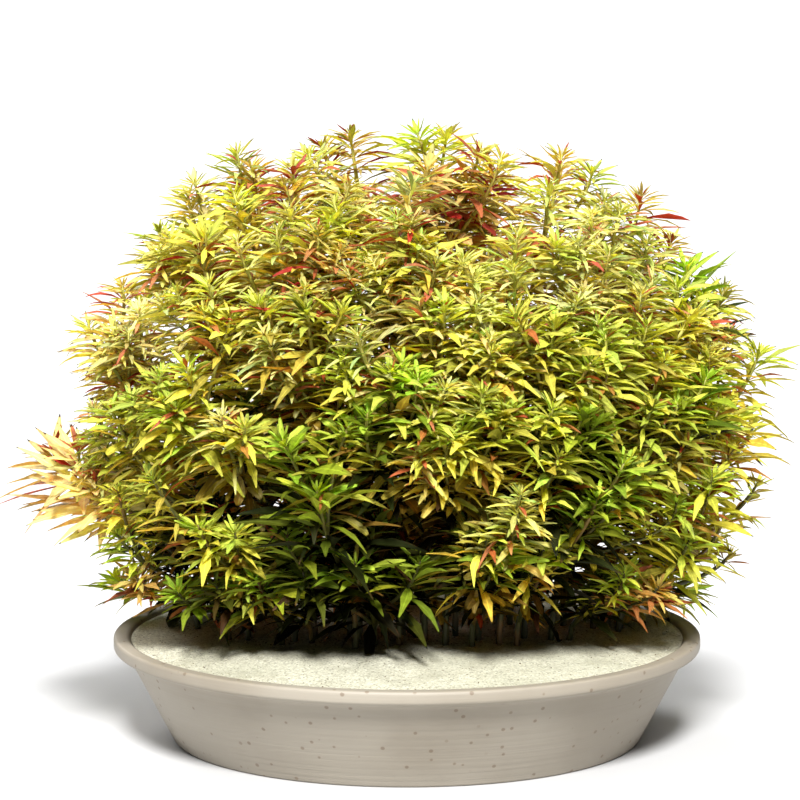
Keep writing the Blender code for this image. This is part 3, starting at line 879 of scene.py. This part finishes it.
def growWhorls(line, look, scale, bare):
    # All the leaves of one stem, from its tip down to where it is bare
    along = alongLine(line)
    oldAt = habits[looks[look][5]][4] * mm
    whorls = []
    spin = luck.uniform(0, math.tau)
    light, red, blue = leafLuck["shoot"]
    shoot = luck.normal(1, light) * np.array([luck.normal(1, red), 1, luck.normal(1, blue)])
    for below, length, rise, bend, leaves, wide, form in whorlsOf(look, scale, along[-1] - bare):
        at = max(along[-1] - below, 0)
        here, ahead = pointsAt(line, along, at), aheadAt(line, along, at)
        age = min(below / oldAt, 1)
        up = blend((ahead, np.array([0, 0, 1])), leafShape["toLight"] * min(age * 4, 1))
        up /= np.linalg.norm(up)
        first = np.cross(up, [0.31, 0.87, 0.13])  # any direction that no stem grows in
        first /= np.linalg.norm(first)
        second = np.cross(up, first)
        spin += luck.uniform(*leafLuck["spin"])
        turns = spin + (np.arange(leaves) + luck.normal(0, leafLuck["turn"], leaves)) * math.tau / leaves
        out = np.cos(turns)[:, None] * first + np.sin(turns)[:, None] * second
        sizes = length * near(leafLuck["length"], leaves)
        shifted = ahead * luck.normal(0, leafLuck["place"] * age, (leaves, 1))
        sure, unsure = leafLuck["rise"]
        whorls.append({
            "origin": here + out * stem["tipRadius"] * 0.8 + shifted,
            "out": out,
            "up": np.tile(up, (leaves, 1)),
            "length": sizes,
            "width": sizes * wide * near(leafLuck["width"], leaves),
            "rise": np.radians(rise + luck.normal(0, sure + unsure * age, leaves)),
            "bend": np.radians(bend * near(leafLuck["bend"], leaves)),
            "tint": tintOf(look, age, leaves, shoot),
            "form": np.full(leaves, form),
            "age": np.full(leaves, age),
        })
    rows = stacked(whorls)
    count = len(rows["length"])
    grown = np.clip(0.3 + rows["age"] * 4, 0, 1)
    rows["twist"] = np.radians(leafShape["twist"]) * luck.normal(0, 1, count) * grown
    rows["sickle"] = leafShape["sickle"] * luck.normal(0, 1, count) * grown
    rows["sag"] = leafShape["sag"] * luck.random(count) * grown
    rows["fold"] = leafShape["fold"] * luck.uniform(*leafLuck["fold"], count)
    rows["wave"] = luck.uniform(0, leafShape["wave"], count)
    rows["phase"] = luck.uniform(0, math.tau, count)
    return rows


def stemCurve(name, lines):
    # The stems of one piece as a curve of round section, thicker towards the root
    deselect()
    shape = bpy.data.curves.new(name, "CURVE")
    shape.dimensions = "3D"
    shape.bevel_depth = 1.0
    shape.bevel_resolution = 1
    shape.use_fill_caps = True
    for line, main in lines:
        along = alongLine(line)
        if main:
            line = np.vstack([line[0] - [0, 0, stem["inSand"]], line])
            along = np.append(0, along + stem["inSand"])
        count = int(along[-1] / stem["step"])
        at = np.linspace(0, along[-1], count)
        spline = shape.splines.new("POLY")
        spline.points.add(count - 1)
        radii = (*stem["mainRadii" if main else "sideRadii"], stem["tipRadius"])
        radius = np.interp(at / along[-1], stem["taper"], radii)
        for point, place, size in zip(spline.points, pointsAt(line, along, at), radius):
            point.co = (*place, 1)
            point.radius = size
    stems = addObject(name, shape)
    stems.select_set(True)
    bpy.context.view_layer.objects.active = stems
    bpy.ops.object.convert(target="MESH")
    bpy.ops.object.mode_set(mode="EDIT")
    mergeClose(0.00001)
    endEdit()
    stems.data.materials.clear()
    stems.data.materials.append(materials["stem"])
    stems.data.shade_smooth()
    return stems


lying = {
    "overSand": 0.8 * mm,
    "overRim": 0.4 * mm,
    "pastRim": 4 * mm,
    "stacked": 0.04,  # a leaf that reached deeper lies this share of it higher
}


def settle(points):
    # Leaves that reach the sand or the rim lie on them
    away = np.hypot(points[:, 0], points[:, 1])
    ground = sandHeight(points[:, 0], points[:, 1]) + lying["overSand"]
    ground = np.where(away > sandRadius - mm, pot["height"] + lying["overRim"], ground)
    low = (away < pot["rimRadius"] + lying["pastRim"]) & (points[:, 2] < ground)
    points[low, 2] = ground[low] + (ground[low] - points[low, 2]) * lying["stacked"]
    return points


def makeShoot(name, line, slot, look, sides):
    size = smaller.get(name, 1)
    bare = stem["bare"].get(look, stem["bareLow"] if line[-1, 2] < stem["lowTip"] else stem["bareHigh"])
    grown = [growWhorls(line, look, luck.uniform(*stem["scale"]) * size, bare)]
    lines = [(line, True)]
    for sideTip, sideLook in sides:
        branch = sideLine(line, sideTip)
        lines.append((branch, False))
        grown.append(growWhorls(branch, sideLook, luck.uniform(*stem["sideScale"]) * size, stem["bareSide"]))
    leaves = stacked(grown)
    groups = []
    for form, model in leafModels.items():
        some = {key: value[leaves["form"] == form] for key, value in leaves.items()}
        if len(some["length"]):
            groups.append((model, settle(layLeaves(model, some)), some["tint"]))
    mesh = joinedMesh(name + "_leaves", groups)
    mesh.materials.append(materials[slot])
    piece = addObject(name + "_leaves", mesh)
    joinTo(piece, stemCurve(name + "_stems", lines))
    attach(piece, "root")
    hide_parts(name)
    return piece


# Side shoots inside the clump: mm from the main stem, share of the main shoot's height that they stand below
# its tip, and how far round they may turn. Those of the highest shoots close the top
inside = {
    "highest": ((26, 52), (0.13, 0.22), 0.55),
    "other": ((12, 24), (0.18, 0.42), 1.1),
    "lift": 8 * mm,
}


def innerSide(line, highest):
    away, below, turn = inside["highest" if highest else "other"]
    x, y, z = line[-1]
    turn = math.atan2(clump["middle"] - y, -x) + luck.uniform(-1, 1) * turn
    away = luck.uniform(*away) * mm
    at = line[np.searchsorted(line[:, 2], z - luck.uniform(*below) * (z - sandEdge))]
    return Vector((at[0] + away * math.cos(turn), at[1] + away * math.sin(turn), at[2] + inside["lift"]))


# Side shoots that are placed by rule beside a front shoot, by its height above the sand; all in mm but shares
beside = {
    "highest": 185,  # shoots above this form the top outline and get none
    "high": 150,  # from here up to the highest, shoots get one inside the clump, and all others two
    "paintedShadeBelow": 110,  # inner side shoots of shoots lower than this take the shade look, painted shade in their leaf colours
    "upper": (85, 3, 0.88),  # height, number above it, and share of the dome's width that they keep to
    "lower": (45, 1, 0.72),
    "aside": (8, 24),
    "drop": (-4, 26),
    "lowest": 14,
    "behind": (0, 8),
    "namedBehind": (-2, 6),  # for the side shoots in the table
}


def sidesInside(line, height, look):
    highest = height > beside["highest"]
    count = 0 if look == "open" else 1 if beside["high"] < height <= beside["highest"] else 2
    # Inner side shoots of lower shoots get the shade look: darker leaf colours as painted shade for the
    # inside of the clump
    innerLook = look if height > beside["paintedShadeBelow"] else "shade"
    return [(innerSide(line, highest), innerLook) for _ in range(count)]


def sidesBeside(x, height, look):
    lowest, count, share = beside["upper" if height > beside["upper"][0] else "lower"]
    if not lowest < height < beside["highest"] or look in ("trailing", "open"):
        return []
    sides = []
    for _ in range(count):
        sideX = (x + luck.uniform(*beside["aside"]) * luck.choice((-1, 1))) * mm
        sideHeight = max(height - luck.uniform(*beside["drop"]), beside["lowest"]) * mm
        sideX = within(sideX, share * domeWidth(sideHeight))
        place = frontTip(sideX, sideHeight, luck.uniform(*beside["behind"]) * mm)
        sides.append((place, str(luck.choice(looks[look][6]))))
    return sides


def makeFront():
    pieces = []
    for name, ((x, height, behind), slot, look, named) in frontShoots.items():
        line = mainLine(name, frontTip(x * mm, height * mm, behind * mm))
        sides = []
        for sideX, sideHeight, sideLook in named:
            away = luck.uniform(*beside["namedBehind"]) * mm
            sides.append((frontTip(sideX * mm, sideHeight * mm, away), sideLook))
        sides += sidesInside(line, height, look)
        sides += sidesBeside(x, height, look)
        pieces.append(makeShoot(name, line, slot, look, sides))
    return pieces


# Side shoots round each back shoot
atBack = {
    "count": 4,
    "away": (16, 34),  # mm
    "flatter": 0.8,
    "within": 0.86,  # share of the dome's width
    "lowest": 14 * mm,
    "highest": clump["domeStart"] + 0.84 * clump["domeRise"],
    "looks": {"leaf_yellow": ("yellow", "olive", "pale", "orange"), "leaf_olive": ("olive", "green")},
}


def sidesAtBack(tip, slot):
    sides = []
    for _ in range(atBack["count"]):
        turn, away = luck.uniform(0, math.tau), luck.uniform(*atBack["away"]) * mm
        height = tip.z + math.sin(turn) * away * atBack["flatter"] - sandEdge
        height = min(max(height, atBack["lowest"]), atBack["highest"])
        x = within(tip.x + math.cos(turn) * away, atBack["within"] * domeWidth(height))
        place = Vector((x, clump["middle"] + domeDepth(x, height), sandEdge + height))
        sides.append((place, str(luck.choice(atBack["looks"][slot]))))
    return sides


def makeBack():
    pieces = []
    for height, count, start, slot, look in backRows:
        height *= mm
        depth = clumpDepth(height) * domeWidth(height) / clump["halfWidth"]
        for number in range(count):
            turn = math.pi * (number + start) / count
            x = clump["backWidth"] * domeWidth(height) * math.cos(turn)
            tip = Vector((x, clump["middle"] + depth * math.sin(turn), height + sandEdge))
            name = f"back_shoot_{len(pieces) + 1}"
            pieces.append(makeShoot(name, mainLine(name, tip), slot, look, sidesAtBack(tip, slot)))
    return pieces


# Sand and pot

def turned(name, outline, sides, material):
    # A profile drawn in the XZ plane, extruded point by point and spun round
    deselect()
    bpy.ops.mesh.primitive_plane_add(size=1)
    body = bpy.context.object
    body.name = name
    editAll()
    bpy.ops.mesh.merge(type="CENTER")
    bm = bmesh.from_edit_mesh(body.data)
    bm.verts.ensure_lookup_table()
    bm.verts[0].co = (outline[0][0], 0, outline[0][1])
    bmesh.update_edit_mesh(body.data)
    for (x, z), (nextX, nextZ) in zip(outline, outline[1:]):
        bpy.ops.mesh.extrude_region_move(TRANSFORM_OT_translate={"value": (nextX - x, 0, nextZ - z)})
    bpy.ops.mesh.select_all(action="SELECT")
    bpy.ops.mesh.spin(steps=sides, angle=math.tau, center=(0, 0, 0), axis=(0, 0, 1))
    mergeClose(0.00002)
    endEdit()
    body.data.shade_smooth()
    body.data.materials.append(material)
    return body


def roundedCorner(before, corner, after, radius, steps=4):
    # Points of an arc-like curve that rounds one corner of an outline
    before, corner, after = (np.array(place, dtype=float) for place in (before, corner, after))
    start = corner + (before - corner) / np.linalg.norm(before - corner) * radius
    end = corner + (after - corner) / np.linalg.norm(after - corner) * radius
    share = np.linspace(0, 1, steps + 1)[:, None]
    places = (1 - share) ** 2 * start + 2 * share * (1 - share) * corner + share**2 * end
    return [tuple(place) for place in places]


def makePot():
    lipStart = pot["height"] - pot["lipHeight"]
    lipRadius = pot["rimRadius"] + pot["lipOverhang"]
    corners = [
        (0, 0),
        (pot["footRadius"], 0),
        (innerRadius(lipStart) + pot["wall"], lipStart),
        (lipRadius, lipStart + pot["lipOverhang"]),
        (lipRadius, pot["height"]),
        (innerRadius(pot["height"]), pot["height"]),
        (innerRadius(pot["floor"]), pot["floor"]),
        (0, pot["floor"]),
    ]
    outline = [corners[0]]
    for before, corner, after in zip(corners, corners[1:], corners[2:]):
        outline += roundedCorner(before, corner, after, pot["round"])
    outline.append(corners[-1])
    body = turned("plain_pot", outline, pot["sides"], materials["pot"])
    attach(body, "root")
    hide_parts("pot")
    return body


def sandSwell(x, y):
    # Long waves and short ripples between about -1 and 1, x and y in mm
    long = np.sin(x / 9.1 + np.sin(y / 7.3)) * np.cos(y / 11.7 + 0.6 * np.sin(x / 5.9))
    short = np.sin(x / 2.3 + 1.7 * np.sin(y / 3.1)) * np.sin(y / 2.7 + x / 4.4)
    return long * 0.45 + short * 0.25 + luck.normal(0, 0.14, len(x))


def makeGrains(radius):
    # Loose grains all over the sand, copies of one squashed ball
    deselect()
    bpy.ops.mesh.primitive_ico_sphere_add(subdivisions=1, radius=0.5)
    grain = bpy.context.object
    grain.name = "grain"
    editAll()
    bpy.ops.transform.resize(value=(1.0, 0.8, 0.66))
    bpy.ops.object.mode_set(mode="OBJECT")
    model = readModel(grain)
    count = sand["grains"]
    turns = luck.uniform(0, math.tau, count)
    away = (radius - sand["grainEdge"]) * np.sqrt(luck.uniform(0.0, 1, count))
    centres = np.stack([away * np.cos(turns), away * np.sin(turns), np.zeros(count)], axis=1)
    centres[:, 2] = sandHeight(centres[:, 0], centres[:, 1]) + sand["grainLift"]
    sizes = blend(sand["grainSize"], luck.random(count) ** 2.5)
    spins = luck.uniform(0, math.tau, count)[:, None]
    x, y, z = model["points"].T
    spun = [x * np.cos(spins) - y * np.sin(spins), x * np.sin(spins) + y * np.cos(spins), z + 0 * spins]
    laid = (centres[:, None] + np.stack(spun, axis=2) * sizes[:, None, None]).reshape(-1, 3)
    mesh = joinedMesh("grains", [(model, laid, np.zeros((count, 4)))])
    mesh.materials.append(materials["grains"])
    return addObject("grains", mesh)


def makeSand():
    radius = sandRadius - sand["fitGap"]
    floor = pot["floor"] + sand["fitGap"]
    outline = [(0, floor), (innerRadius(floor) - sand["fitGap"], floor), (radius, sandEdge)]
    for number in range(1, sand["rings"] + 1):
        away = radius * (1 - number / sand["rings"])
        outline.append((away, float(sandHeight(away, 0))))
    body = turned("pale_sand", outline, sand["sides"], materials["sand"])
    points = np.zeros(len(body.data.vertices) * 3)
    body.data.vertices.foreach_get("co", points)
    points = points.reshape(-1, 3)
    away = np.hypot(points[:, 0], points[:, 1])
    top = (points[:, 2] > sandEdge - 0.1 * mm) & (away < radius - 0.5 * mm)
    fade = np.clip((radius - away) / sand["fade"], 0, 1)
    swell = sandSwell(points[:, 0] / mm, points[:, 1] / mm) * sand["swell"] * fade
    points[top, 2] += swell[top]
    body.data.vertices.foreach_set("co", points.ravel())
    body.data.update()
    joinTo(body, makeGrains(radius))
    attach(body, "root")
    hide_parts("sand")
    return body


# Stage, lights and camera

studio = {
    "floorSize": 60.0,
    "floorColours": ((0.54, 0.54, 0.54, 1), (0.58, 0.58, 0.58, 1)),
    "world": 0.03,
    # strength, where it shines from, softness in degrees
    "key": (6.3, (0.02, -1.0, 1.08), 14),
    "top": (1.5, (0.0, -0.1, 1.0), 80),
    "back": (1.8, (-0.5, 0.9, 0.9), 25),
}

view = {
    "distance": 1.5,
    "width": 320 * mm,  # what the picture shows across, at the clump's middle
    "aim": (-2.8 * mm, 0, 136.1 * mm),
    "sensor": 36,
}


def floorMaterial():
    material, tree, shader, objects = newMaterial("paleFloor")
    colour = mixColour(tree, noiseFrom(tree, objects, 3.0, 2.0), *studio["floorColours"])
    finish(tree, shader, colour, 0.9)
    return material


def addLight(name, power, place, softness):
    deselect()
    bpy.ops.object.light_add(type="SUN", location=place)
    lamp = bpy.context.object
    lamp.name = name
    lamp.data.energy = power
    lamp.data.angle = math.radians(softness)
    lamp.rotation_euler = Vector(place).to_track_quat("Z", "Y").to_euler()


def setStage():
    deselect()
    bpy.ops.mesh.primitive_plane_add(size=studio["floorSize"], location=(0, 0, 0))
    floor = bpy.context.object
    floor.name = "pale_floor"
    floor.data.materials.append(floorMaterial())
    world = bpy.data.worlds.new("studio")
    bpy.context.scene.world = world
    world.use_nodes = True
    sky = world.node_tree.nodes["Background"]
    sky.inputs["Color"].default_value = (1, 1, 1, 1)
    sky.inputs["Strength"].default_value = studio["world"]
    for name in ("key", "top", "back"):
        addLight(name + "_light", *studio[name])
    tilt = clump["viewTilt"]
    place = Vector(view["aim"]) + Vector((0, -math.cos(tilt), math.sin(tilt))) * view["distance"]
    bpy.ops.object.camera_add(location=place, rotation=(math.pi / 2 - tilt, 0, 0))
    camera = bpy.context.object
    camera.data.sensor_width = view["sensor"]
    camera.data.lens = view["sensor"] * view["distance"] / view["width"]
    bpy.context.scene.camera = camera
    bpy.context.scene.view_settings.view_transform = "Standard"


leafColours = ("yellow", "red", "olive", "green", "orange")
materials = {"leaf_" + colour: leafMaterial(colour + "Leaf") for colour in leafColours}
materials.update(stem=stemMaterial(), sand=sandMaterial(), grains=grainMaterial(), pot=potMaterial())
print("materials made")

leafModels = {
    "toothed": readModel(modelLeaf("toothedLeaf", 6, True)),
    "plain": readModel(modelLeaf("plainLeaf", 4, False)),
    "tiny": readModel(modelLeaf("tinyLeaf", 3, False)),
}

pieces = [makePot(), makeSand()]
print("pot and sand made")

pieces += makeFront()
pieces += makeBack()
counts = [sum(len(face.vertices) - 2 for face in piece.data.polygons) for piece in pieces]
print("shoots grown:", len(pieces) - 2, "pieces")
print(sum(counts), "triangles in all,", max(counts), "in the largest piece")

setStage()
print("stage, lights and camera set")
